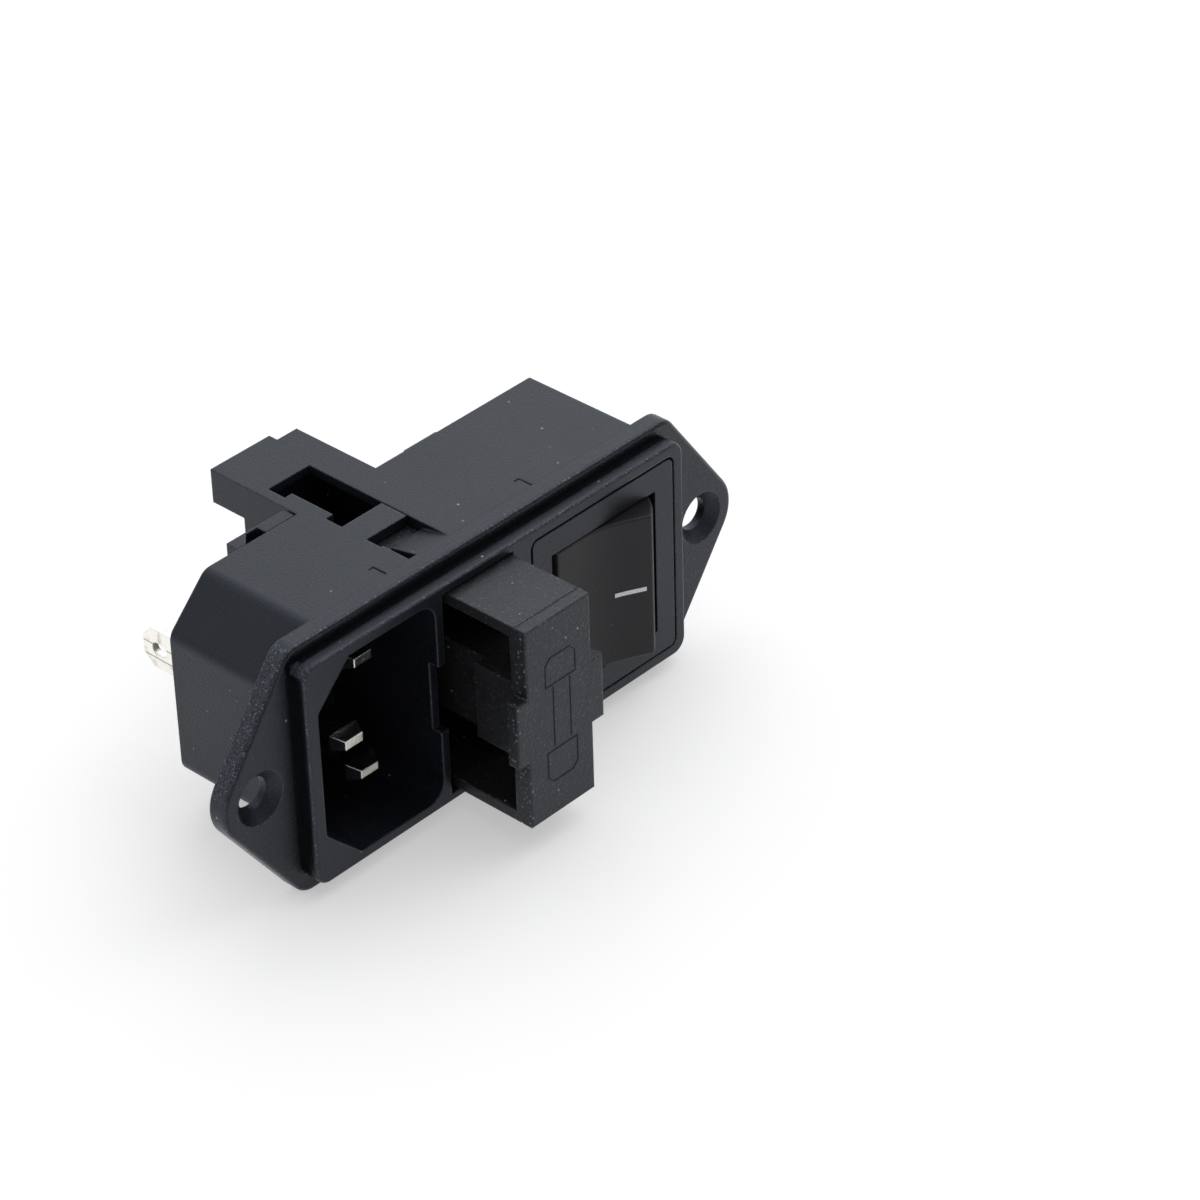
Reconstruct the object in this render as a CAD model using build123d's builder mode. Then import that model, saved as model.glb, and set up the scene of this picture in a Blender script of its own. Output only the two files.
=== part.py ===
from build123d import *
import os
from math import cos, radians, sin, sqrt, tan

# Appliance inlet for a panel: a C14 inlet, a drawer for two fuses and a two-pole
# rocker switch side by side in one moulded housing. Millimetres. The origin is
# the middle of the flange on its panel face. X runs along the flange from the
# inlet to the switch, -Y is the front and Z is up across the flange.

# Flange and ears
flange_thickness = 2.2
flange_lip = 1.5
flange_straight = 56.0
flange_corner_radius = 2.6
flange_edge_radius = 0.5
hole_pitch = 65.8
ear_tip_radius = 4.85
screw_hole_radius = 1.9
screw_head_radius = 3.1

# Raised boss around the three functions
boss_length = 55.8
boss_border = 1.6
boss_height = 2.0
boss_corner_radius = 1.8
boss_edge_radius = 0.35

# Body behind the panel
body_left = -27.2
body_right = 26.5
shell_wall = 1.35
body_depth = 16.4
body_bevel = 5.4
body_bevel_radius = 1.8
body_corner_radius = 0.6
body_rear_bevel = 0.2
rear_pad_left = 7.2
rear_pad_right = 12.0
rear_pad_height = 0.15
notch_mark_x = (-10.6, 10.8)
notch_mark_front = 1.6
notch_mark_length = 1.9
notch_mark_width = 0.2

# Inlet shell
inlet_left = -26.3
inlet_right = -9.5
inlet_tall = 24.5
inlet_bevel = 4.7
inlet_corner_radius = 2.2
inlet_bevel_radius = 0.9
inlet_depth = 16.0

# Pins of the inlet
pin_width = 4.0
pin_thickness = 2.0
pin_pitch = 14.0
pin_row_x = -16.1
earth_x = -20.1
pin_tip_y = -0.2
earth_tip_y = -2.5
pin_tip_length = 1.6
pin_tip_width = 2.4
pin_tip_thickness = 1.0
pin_stub = 0.6
pin_clearance = 0.05

# Insert that closes the inlet and carries the pins
insert_clearance = 0.05
block_left = -17.1
block_right = -9.0
block_sink = 0.1
block_gap = 0.3
block_depth = 1.55
block_pocket_left = -15.8
block_pocket_right = -13.0
block_pocket_reach = 1.3
block_pocket_slant = 1.2
block_pocket_depth = 3.2

# Quick-connect tabs
tab_width = 4.8
tab_thickness = 0.8
tab_chamfer = 1.3
tab_hole_radius = 0.75
tab_hole_inset = 2.4
earth_tab_length = 10.1
switch_tab_length = 7.0

# Drawer channel and the extension behind the body
channel_left = -7.75
channel_right = 1.95
channel_roof = 1.1
mouth_step = 0.75
mouth_depth = 5.0
extension_left_wall = 0.95
extension_right_wall = 0.75
extension_end = 29.2
step_left = -0.15
step_depth = 1.2
bar_height = 4.1
rear_wall_front = 22.8
rear_wall_back = 24.5
web_radius = 0.9

# Openings in the roof and the floor of the channel
slot_inset = 0.35
slot_width = 6.0
rear_slot_front = 11.05
rear_slot_back = 21.9
slot_tab_length = 1.05
slot_tab_front = 13.4
slot_tab_back = 19.4
front_slot_front = 1.7
front_slot_back = 7.5
front_slot_inset = 0.3
front_slot_step = 5.4
ramp_inset = 1.4
ramp_end = 0.3
slit_width = 0.2

# Fuse drawer, pulled out
drawer_front = -14.84
drawer_side_play = 0.15
drawer_play = 0.3
drawer_length = 26.8
drawer_plate = 1.5
drawer_wall = 1.2
drawer_edge_radius = 0.15
bay_front = 2.2
bay_end_wall = 1.2
bay_low = 4.6
bay_roof = 1.3
core_recess = 0.6
core_step = 2.0
core_step_front = 5.8
plate_line_depth = 0.08
plate_line_width = 0.2
plate_line_inset = 1.4
lug_tall = 7.8
left_lug = 1.5
right_lug = 1.7
lug_clearance = 0.25
lug_travel = 10.2
side_window_front = 3.0
side_window_length = 6.2
window_clearance = 0.3

# Switch bay, case and bezel
switch_x = 15.5
bezel_side_rim = 1.1
bezel_end_rim = 1.2
bezel_thickness = 1.5
bezel_gap = 0.3
bezel_corner_radius = 0.8
bay_gap = 0.3
bay_back_wall = 1.4
case_side_wall = 1.0
case_end_wall = 1.4
case_floor = 1.2
window_gap = 0.3
window_end_gap = 0.2
window_lip = 1.2
partition_thickness = 1.0
partition_front = 8.4

# Rocker
rocker_pivot_y = 0.0
rocker_radius = 8.2
rocker_tall = 17.6
rocker_end_gap = 0.5
rocker_side_gap = 0.4
rocker_crown = 4.1
rocker_slope = 15.0
rocker_dish_radius = 12.0
rocker_tilt = 13.0
rocker_shell = 1.3
rocker_back = 2.4
rocker_edge_radius = 0.25
hub_radius = 2.4
rib_thickness = 1.2
axle_radius = 1.5
axle_reach = 1.6
axle_clearance = 0.05
socket_radius = 2.3
socket_end = 3.4
socket_bottom = -2.0

# Plungers and their springs
plunger_radius = 1.4
plunger_clearance = 0.05
plunger_reach = 6.2
plunger_length = 4.6
spring_radius = 0.85
spring_wire = 0.18
spring_turns = 3

# Seesaw contacts and switch terminals
pole_z = 5.6
seesaw_gap = 0.15
seesaw_thickness = 0.6
seesaw_half_length = 5.8
seesaw_width = 3.2
seesaw_tilt = 6.0
cradle_clearance = 0.05
cradle_lip = 0.15
rivet_radius = 1.2
rivet_height = 0.5
rivet_offset = 4.9
contact_gap = 0.2
button_height = 0.4
foot_thickness = 0.6
pivot_tab_offset = 0.9
terminal_pitch = 7.0
terminal_clearance = 0.1

# Stamped straps between the pins, the fuses and the switch
strap_thickness = 0.5
strap_tall = 2.8
strap_bend = 0.4
strap_clearance = 0.2
rear_leaf_reach = 1.95
rear_leaf_length = 3.6
front_leaf_offset = 0.45
front_leaf_length = 5.2
link_offset = 1.9
pocket_front = -1.4
pocket_length = 6.4
link_gap = 0.3

# Places that follow from the sizes above
body_tall = inlet_tall + 2 * shell_wall
flange_tall = body_tall + 2 * flange_lip
boss_tall = flange_tall - 2 * boss_border
channel_tall = body_tall - 2 * channel_roof
mouth_left = channel_left - mouth_step
extension_left = channel_left - extension_left_wall
extension_right = channel_right + extension_right_wall
slot_left = channel_left + slot_inset
slot_right = slot_left + slot_width
slot_tab_reach = slot_left + slot_tab_length
front_slot_left = slot_left + front_slot_inset
ramp_left = slot_left + ramp_inset
drawer_left = channel_left + drawer_side_play
drawer_right = channel_right - drawer_side_play
drawer_tall = channel_tall - 2 * drawer_play
bay_high = drawer_tall / 2 - bay_roof
fuse_row_z = (bay_low + bay_high) / 2
block_top = body_tall / 2 - block_sink
block_bottom = fuse_row_z + strap_tall / 2 + block_gap
rear_leaf_crown = channel_left + rear_leaf_reach
front_leaf_x = channel_right + front_leaf_offset
link_x = channel_right + link_offset
boss_front = -flange_thickness - boss_height
bezel_back = boss_front + bezel_thickness
insert_front = boss_front + inlet_depth
inlet_center = (inlet_left + inlet_right) / 2
case_width = 2 * (rocker_radius + rocker_side_gap + case_side_wall)
case_tall = rocker_tall + 2 * (rocker_end_gap + case_end_wall)
case_floor_back = body_depth - bay_back_wall - strap_thickness - 2.35 * link_gap
case_floor_front = case_floor_back - case_floor
window_depth = rocker_pivot_y - boss_front - window_lip
window_width = 2 * sqrt((rocker_radius + window_gap) ** 2 - window_depth ** 2)
window_tall = rocker_tall + 2 * window_end_gap
bezel_width = case_width + 2 * bezel_side_rim
bezel_tall = case_tall + 2 * bezel_end_rim
bay_width = case_width + 2 * bay_gap
bay_tall = case_tall + 2 * bay_gap
bay_left = switch_x - bay_width / 2
bay_back = body_depth - bay_back_wall
pivot_tab_x = switch_x + pivot_tab_offset
load_tab_x = pivot_tab_x - terminal_pitch
strap_low = fuse_row_z - strap_tall / 2
rear_strap_y = body_depth + pin_stub + strap_thickness / 2
link_y = case_floor_back + link_gap + strap_thickness / 2
seesaw_axis_y = rocker_pivot_y + plunger_reach + seesaw_gap + seesaw_thickness
button_front = seesaw_axis_y + rivet_height + contact_gap
tilt = radians(rocker_tilt)

os.makedirs("parts", exist_ok=True)


def across(y):
    """Plane facing the front at depth y: sketch X is X, sketch Y is Z, positive is forward."""
    return Plane.XZ.offset(-y)


def along_rocker(z):
    """Plane through the rocker axis at height z that looks along the plungers, tilted as at rest."""
    return Plane(origin=(switch_x, rocker_pivot_y, z), x_dir=(0, 0, 1), z_dir=(sin(tilt), cos(tilt), 0))


def span(left, right, low, high):
    """Rectangle from its four sides, in the sketch that is open."""
    with Locations(((left + right) / 2, (low + high) / 2)):
        Rectangle(right - left, high - low)


def keep(item, label):
    """Name a finished piece and write its file."""
    item.part.label = label
    export_step(item.part, "parts/" + label + ".step")


def inlet_face(clearance):
    """Inlet outline, bevelled at the left and rounded at the right, shrunk by a clearance."""
    left = inlet_left + clearance
    right = inlet_right - clearance
    top = inlet_tall / 2 - clearance
    with BuildSketch(mode=Mode.PRIVATE) as outline:
        with BuildLine():
            Polyline(
                (left + inlet_bevel, top),
                (right, top),
                (right, -top),
                (left + inlet_bevel, -top),
                (left, -top + inlet_bevel),
                (left, top - inlet_bevel),
                close=True,
            )
        make_face()
        fillet(outline.vertices().group_by(Axis.X)[-1], radius=inlet_corner_radius)
        fillet(outline.vertices().group_by(Axis.X)[0], radius=inlet_bevel_radius)
    return outline.sketch


# Housing: one moulding in glass-filled plastic
with BuildPart() as housing:
    with BuildSketch(across(0)) as flange:
        Rectangle(flange_straight, flange_tall)
        with Locations((-hole_pitch / 2, 0), (hole_pitch / 2, 0)):
            Circle(ear_tip_radius)
        make_hull(mode=Mode.REPLACE)
        corners = flange.vertices().filter_by(lambda v: abs(v.Y) > flange_tall / 2 - 0.01)
        fillet(corners, radius=flange_corner_radius)
    extrude(amount=flange_thickness)
    fillet(housing.faces().sort_by(Axis.Y)[0].edges(), radius=flange_edge_radius)

    with BuildSketch(across(-flange_thickness)):
        RectangleRounded(boss_length, boss_tall, boss_corner_radius)
    extrude(amount=boss_height)
    fillet(housing.faces().sort_by(Axis.Y)[0].edges(), radius=boss_edge_radius)

    with BuildSketch(across(0)) as body:
        span(body_left, body_right, -body_tall / 2, body_tall / 2)
        chamfer(body.vertices().group_by(Axis.X)[0], length=body_bevel)
        bends = body.vertices().group_by(Axis.X)
        fillet(bends[0] + bends[1], radius=body_bevel_radius)
        fillet(body.vertices().group_by(Axis.X)[-1], radius=body_corner_radius)
    extrude(amount=-body_depth)
    chamfer(housing.faces().sort_by(Axis.Y)[-1].edges(), length=body_rear_bevel)

    with BuildSketch(across(body_depth)):
        span(rear_pad_left, rear_pad_right, body_rear_bevel - body_tall / 2, body_tall / 2 - body_rear_bevel)
    extrude(amount=-rear_pad_height)

    # Extension that takes the rear of the drawer channel
    with BuildSketch(across(boss_front + boss_height)):
        span(extension_left, extension_right, -body_tall / 2, body_tall / 2)
    extrude(amount=-(extension_end + flange_thickness))
    with BuildSketch(across(extension_end)):
        span(step_left, extension_right, -body_tall / 2, body_tall / 2)
    extrude(amount=step_depth, mode=Mode.SUBTRACT)
    with BuildSketch(across(extension_end)):
        span(extension_left, extension_right, bar_height - body_tall / 2, body_tall / 2 - bar_height)
    extrude(amount=extension_end - rear_wall_back, mode=Mode.SUBTRACT)
    inner = housing.edges().filter_by(Axis.Z).filter_by(
        lambda e: abs(e.center().X - extension_right) < 0.01 and abs(e.center().Y - body_depth) < 0.01
    )
    fillet(inner, radius=web_radius)

    # Inlet shell, drawer channel and the notches for the finger lugs
    with BuildSketch(across(boss_front)):
        add(inlet_face(0))
    extrude(amount=-(body_depth - boss_front), mode=Mode.SUBTRACT)
    with BuildSketch(across(boss_front)):
        span(channel_left, channel_right, -channel_tall / 2, channel_tall / 2)
    extrude(amount=-(rear_wall_front - boss_front), mode=Mode.SUBTRACT)
    with BuildSketch(across(boss_front)):
        span(mouth_left, channel_left, -channel_tall / 2, channel_tall / 2)
    extrude(amount=-mouth_depth, mode=Mode.SUBTRACT)
    with BuildSketch(across(boss_front)):
        half_notch = lug_tall / 2 + lug_clearance
        span(inlet_right - 0.1, drawer_right + right_lug + lug_clearance, -half_notch, half_notch)
    extrude(amount=-(drawer_front + lug_travel + drawer_plate + lug_clearance - boss_front), mode=Mode.SUBTRACT)

    # Openings through the roof and the floor of the channel, with a spring ramp in the front one
    with BuildSketch(Plane.XY):
        span(slot_left, slot_right, rear_slot_front, rear_slot_back)
        span(front_slot_left, slot_right, front_slot_front, front_slot_step)
        span(slot_left, slot_right, front_slot_step, front_slot_back)
        span(slot_right - slit_width, slot_right, front_slot_back, rear_slot_front)
    extrude(amount=body_tall, both=True, mode=Mode.SUBTRACT)
    for side in (1, -1):
        roof = side * channel_tall / 2
        skin = side * body_tall / 2
        with BuildSketch(Plane.XY.offset(roof)):
            span(slot_left, slot_tab_reach, slot_tab_front, slot_tab_back)
        extrude(amount=skin - roof)
        with BuildSketch(Plane.YZ.offset(ramp_left)):
            with BuildLine():
                Polyline(
                    (front_slot_front, roof),
                    (front_slot_front, skin),
                    (front_slot_step, roof + side * ramp_end),
                    (front_slot_step, roof),
                    close=True,
                )
            make_face()
        extrude(amount=slot_right - ramp_left)
        with BuildSketch(Plane.XY.offset(skin)):
            for x in notch_mark_x:
                back = notch_mark_front + notch_mark_length
                span(x, x + notch_mark_width, notch_mark_front, back)
                span(x - notch_mark_width * 3, x, back - notch_mark_width, back)
        extrude(amount=-side * notch_mark_width, mode=Mode.SUBTRACT)

    # Switch bay behind the sunk seat of the bezel
    with BuildSketch(across(boss_front)):
        with Locations((switch_x, 0)):
            RectangleRounded(bezel_width + 2 * bezel_gap, bezel_tall + 2 * bezel_gap, bezel_corner_radius + bezel_gap)
    extrude(amount=-bezel_thickness, mode=Mode.SUBTRACT)
    with BuildSketch(across(bezel_back)):
        with Locations((switch_x, 0)):
            Rectangle(bay_width, bay_tall)
    extrude(amount=-(bay_back - bezel_back), mode=Mode.SUBTRACT)
    with BuildSketch(across(bay_back)):
        with Locations((load_tab_x, pole_z), (pivot_tab_x, pole_z), (load_tab_x, -pole_z), (pivot_tab_x, -pole_z)):
            Rectangle(tab_width + 2 * terminal_clearance, tab_thickness + 2 * terminal_clearance)
    extrude(amount=-(bay_back_wall + rear_pad_height), mode=Mode.SUBTRACT)

    # Slots for the stamped straps, beside the channel and through its left wall
    half_slot = strap_thickness / 2 + strap_clearance
    for side in (1, -1):
        with BuildSketch(Plane.XY.offset(side * (strap_low - strap_clearance))):
            span(link_x - half_slot, link_x + half_slot, pocket_front, link_y + half_slot)
            span(link_x - half_slot, bay_left, link_y - half_slot, link_y + half_slot)
            span(channel_right, link_x + half_slot, pocket_front, pocket_front + pocket_length)
            span(extension_left, channel_left, rear_strap_y - half_slot, rear_strap_y + half_slot)
        extrude(amount=side * (strap_tall + 2 * strap_clearance), mode=Mode.SUBTRACT)

    # Countersunk screw holes in the ears
    with Locations(across(-flange_thickness)):
        with GridLocations(hole_pitch, 1, 2, 1):
            CounterSinkHole(screw_hole_radius, screw_head_radius, counter_sink_angle=90)
keep(housing, "housing")

# Insert: closes the back of the inlet and carries the three pins
with BuildPart() as inlet_insert:
    with BuildSketch(across(insert_front)):
        add(inlet_face(insert_clearance))
    extrude(amount=-(body_depth - insert_front))
    for side in (1, -1):
        with BuildSketch(across(body_depth)):
            span(block_left, block_right, *sorted((side * block_bottom, side * block_top)))
        extrude(amount=-block_depth)
        with BuildSketch(Plane.XY.offset(side * block_top)) as pocket:
            span(block_pocket_left, block_pocket_right, body_depth, body_depth + block_pocket_reach)
            slant = pocket.vertices().group_by(Axis.Y)[-1].sort_by(Axis.X)[0]
            chamfer(slant, length=block_pocket_slant)
        extrude(amount=-side * block_pocket_depth, mode=Mode.SUBTRACT)
    with BuildSketch(across(insert_front)):
        with Locations((pin_row_x, pin_pitch / 2), (pin_row_x, -pin_pitch / 2), (earth_x, 0)):
            Rectangle(pin_width + 2 * pin_clearance, pin_thickness + 2 * pin_clearance)
    extrude(amount=-(body_depth - insert_front), mode=Mode.SUBTRACT)
keep(inlet_insert, "inlet_insert")

# Earth contact: blade pin and quick-connect tab from one strip
with BuildPart() as earth_contact:
    with BuildSketch(across(earth_tip_y)):
        with Locations((earth_x, 0)):
            Rectangle(pin_tip_width, pin_tip_thickness)
    with BuildSketch(across(earth_tip_y + pin_tip_length)):
        with Locations((earth_x, 0)):
            Rectangle(pin_width, pin_thickness)
    loft()
    with BuildSketch(across(earth_tip_y + pin_tip_length)):
        with Locations((earth_x, 0)):
            Rectangle(pin_width, pin_thickness)
    extrude(amount=-(body_depth + pin_stub - earth_tip_y - pin_tip_length))
    tab_end = body_depth + earth_tab_length
    with BuildSketch(Plane.YZ.offset(earth_x - pin_width / 2)) as tab:
        span(body_depth, tab_end, -tab_width / 2, tab_width / 2)
        chamfer(tab.vertices().group_by(Axis.X)[-1], length=tab_chamfer)
        with Locations((tab_end - tab_hole_inset, 0)):
            SlotOverall(tab_hole_radius * 3, tab_hole_radius * 2, mode=Mode.SUBTRACT)
    extrude(amount=tab_thickness)
keep(earth_contact, "earth_contact")

for side, wire in ((1, "line"), (-1, "neutral")):
    row_z = side * pin_pitch / 2

    # Blade pin, riveted to its strap behind the insert
    with BuildPart() as pin:
        with BuildSketch(across(pin_tip_y)):
            with Locations((pin_row_x, row_z)):
                Rectangle(pin_tip_width, pin_tip_thickness)
        with BuildSketch(across(pin_tip_y + pin_tip_length)):
            with Locations((pin_row_x, row_z)):
                Rectangle(pin_width, pin_thickness)
        loft()
        with BuildSketch(across(pin_tip_y + pin_tip_length)):
            with Locations((pin_row_x, row_z)):
                Rectangle(pin_width, pin_thickness)
        extrude(amount=-(body_depth + pin_stub - pin_tip_y - pin_tip_length))
    keep(pin, wire + "_pin")

    # Rear fuse contact: strap from the pin that ends in a bowed leaf inside the channel
    with BuildPart() as rear_contact:
        with BuildSketch(Plane.XY.offset(side * strap_low)):
            with BuildLine():
                FilletPolyline(
                    (pin_row_x - pin_width / 2, rear_strap_y),
                    (channel_left, rear_strap_y),
                    (rear_leaf_crown, rear_strap_y + rear_leaf_length / 2),
                    (rear_leaf_crown - 0.9, rear_strap_y + rear_leaf_length),
                    radius=strap_bend,
                )
                offset(amount=strap_thickness / 2, side=Side.BOTH)
            make_face()
        extrude(amount=side * strap_tall)
    keep(rear_contact, wire + "_rear_contact")

    # Front fuse contact: hairpin leaf and the strap that leads to the switch
    with BuildPart() as front_contact:
        with BuildSketch(Plane.XY.offset(side * strap_low)):
            hairpin = pocket_front + strap_clearance + strap_thickness / 2
            with BuildLine():
                FilletPolyline(
                    (front_leaf_x + 0.3, hairpin + front_leaf_length),
                    (front_leaf_x, hairpin + front_leaf_length / 2),
                    (front_leaf_x + 0.2, hairpin),
                    (link_x, hairpin),
                    (link_x, link_y),
                    (pivot_tab_x + tab_width / 3, link_y),
                    radius=strap_bend,
                )
                offset(amount=strap_thickness / 2, side=Side.BOTH)
            make_face()
        extrude(amount=side * strap_tall)
        with BuildSketch(Plane.XY.offset(side * (pole_z + tab_thickness / 2))):
            span(
                pivot_tab_x - tab_width / 3,
                pivot_tab_x + tab_width / 3,
                link_y - strap_thickness / 2,
                link_y + strap_thickness / 2,
            )
        extrude(amount=side * (strap_low - pole_z - tab_thickness / 2))
    keep(front_contact, wire + "_front_contact")

# Fuse drawer: one moulding, open at its left side, with a bay above and below the core
drawer_back = drawer_front + drawer_length
with BuildPart() as fuse_drawer:
    with BuildSketch(across(drawer_front)):
        span(drawer_left, drawer_right, -drawer_tall / 2, drawer_tall / 2)
    extrude(amount=-drawer_length)
    with BuildSketch(across(drawer_front)):
        span(drawer_left - left_lug, drawer_right + right_lug, -lug_tall / 2, lug_tall / 2)
    extrude(amount=-drawer_plate)
    fillet(fuse_drawer.faces().sort_by(Axis.Y)[0].edges(), radius=drawer_edge_radius)
    with BuildSketch(across(drawer_front + bay_front)):
        span(drawer_left, drawer_left + core_recess, -bay_low, bay_low)
    extrude(amount=-(drawer_length - bay_front), mode=Mode.SUBTRACT)
    with BuildSketch(across(drawer_front + bay_front + core_step_front)):
        span(drawer_left, drawer_left + core_step, -bay_low, bay_low)
    extrude(amount=-(drawer_length - bay_front - core_step_front), mode=Mode.SUBTRACT)
    for side in (1, -1):
        with BuildSketch(across(drawer_front + bay_front)):
            span(drawer_left, drawer_right - drawer_wall, *sorted((side * bay_low, side * bay_high)))
        extrude(amount=-(drawer_length - bay_front - bay_end_wall), mode=Mode.SUBTRACT)
        with BuildSketch(Plane.XY.offset(side * (strap_low - window_clearance))):
            window = drawer_front + side_window_front
            span(drawer_right - drawer_wall, drawer_right, window, window + side_window_length)
            notch_right = rear_leaf_crown + strap_thickness / 2 + window_clearance
            span(drawer_left, notch_right, drawer_back - bay_end_wall, drawer_back)
        extrude(amount=side * (strap_tall + 2 * window_clearance), mode=Mode.SUBTRACT)
        with BuildSketch(Plane.XY.offset(side * drawer_tall / 2)):
            line = drawer_front + plate_line_inset
            span(drawer_left, drawer_right, line, line + plate_line_width)
        extrude(amount=-side * plate_line_depth, mode=Mode.SUBTRACT)
keep(fuse_drawer, "fuse_drawer")

# Switch case: open box with the bezel around its front and a wall between the poles
with BuildPart() as switch_case:
    with BuildSketch(across(bezel_back)):
        with Locations((switch_x, 0)):
            RectangleRounded(bezel_width, bezel_tall, bezel_corner_radius)
    extrude(amount=bezel_thickness)
    with BuildSketch(across(bezel_back)):
        with Locations((switch_x, 0)):
            Rectangle(case_width, case_tall)
    extrude(amount=-(case_floor_back - bezel_back))
    with BuildSketch(across(boss_front + window_lip)):
        with Locations((switch_x, 0)):
            Rectangle(case_width - 2 * case_side_wall, case_tall - 2 * case_end_wall)
    extrude(amount=-(case_floor_front - boss_front - window_lip), mode=Mode.SUBTRACT)
    with BuildSketch(across(boss_front)):
        with Locations((switch_x, 0)):
            Rectangle(window_width, window_tall)
    extrude(amount=-window_lip, mode=Mode.SUBTRACT)
    with BuildSketch(across(partition_front)):
        with Locations((switch_x, 0)):
            Rectangle(case_width - case_side_wall, partition_thickness)
    extrude(amount=-(case_floor_front - partition_front))
    with BuildSketch(Plane.XY):
        with Locations((switch_x, rocker_pivot_y)):
            Circle(axle_radius + axle_clearance)
    extrude(amount=case_tall, both=True, mode=Mode.SUBTRACT)
    with BuildSketch(across(case_floor_front)):
        with Locations((load_tab_x, pole_z), (pivot_tab_x, pole_z), (load_tab_x, -pole_z), (pivot_tab_x, -pole_z)):
            Rectangle(tab_width + 2 * terminal_clearance, tab_thickness + 2 * terminal_clearance)
    extrude(amount=-(case_floor_back - case_floor_front), mode=Mode.SUBTRACT)
keep(switch_case, "switch_case")

# Rocker: dished shell about its axle, with a hub and two sockets for the plungers
rocker_plane = Plane(origin=(switch_x, rocker_pivot_y, 0), x_dir=(cos(tilt), -sin(tilt), 0), z_dir=(0, 0, 1))


def rocker_face(radius, crown):
    """Rocker section: dished front between two arcs about the pivot, cut off at the back."""
    slope = tan(radians(rocker_slope))
    with BuildSketch(mode=Mode.PRIVATE) as section:
        Circle(radius)
        with BuildLine():
            Polyline(
                (0, -crown),
                (radius, -crown - slope * radius),
                (radius, -2 * radius),
                (-radius, -2 * radius),
                (-radius, -crown - slope * radius),
                close=True,
            )
        make_face(mode=Mode.SUBTRACT)
        valley = section.vertices().filter_by(lambda v: abs(v.X) < 0.01 and abs(v.Y + crown) < 0.01)
        fillet(valley, radius=rocker_dish_radius)
        with Locations((0, rocker_back + radius)):
            Rectangle(2 * radius, 2 * radius, mode=Mode.SUBTRACT)
    return section.sketch


with BuildPart() as rocker:
    with BuildSketch(rocker_plane):
        add(rocker_face(rocker_radius, rocker_crown))
    extrude(amount=rocker_tall / 2, both=True)
    fillet(rocker.edges().filter_by(lambda e: e.center().Y < bezel_back), radius=rocker_edge_radius)
    with BuildSketch(rocker_plane):
        add(rocker_face(rocker_radius - rocker_shell, rocker_crown - rocker_shell))
        with Locations((0, rocker_back)):
            Rectangle(2 * (rocker_radius - rocker_shell) - 0.4, 2 * rocker_back)
    extrude(amount=rocker_tall / 2 - rocker_shell, both=True, mode=Mode.SUBTRACT)
    with BuildSketch(rocker_plane):
        Circle(hub_radius)
        with Locations((0, -rocker_crown / 2)):
            Rectangle(rib_thickness, rocker_crown - 1)
    extrude(amount=rocker_tall / 2 - rocker_shell / 2, both=True)
    with BuildSketch(rocker_plane):
        Circle(axle_radius)
    extrude(amount=rocker_tall / 2 + axle_reach, both=True)
    for side in (1, -1):
        with BuildSketch(along_rocker(side * pole_z).offset(1 - rocker_crown)):
            Circle(socket_radius)
        extrude(amount=socket_end + rocker_crown - 1)
    for side in (1, -1):
        with BuildSketch(along_rocker(side * pole_z).offset(socket_bottom)):
            Circle(plunger_radius + plunger_clearance)
        extrude(amount=socket_end - socket_bottom, mode=Mode.SUBTRACT)
keep(rocker, "rocker")

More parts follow.
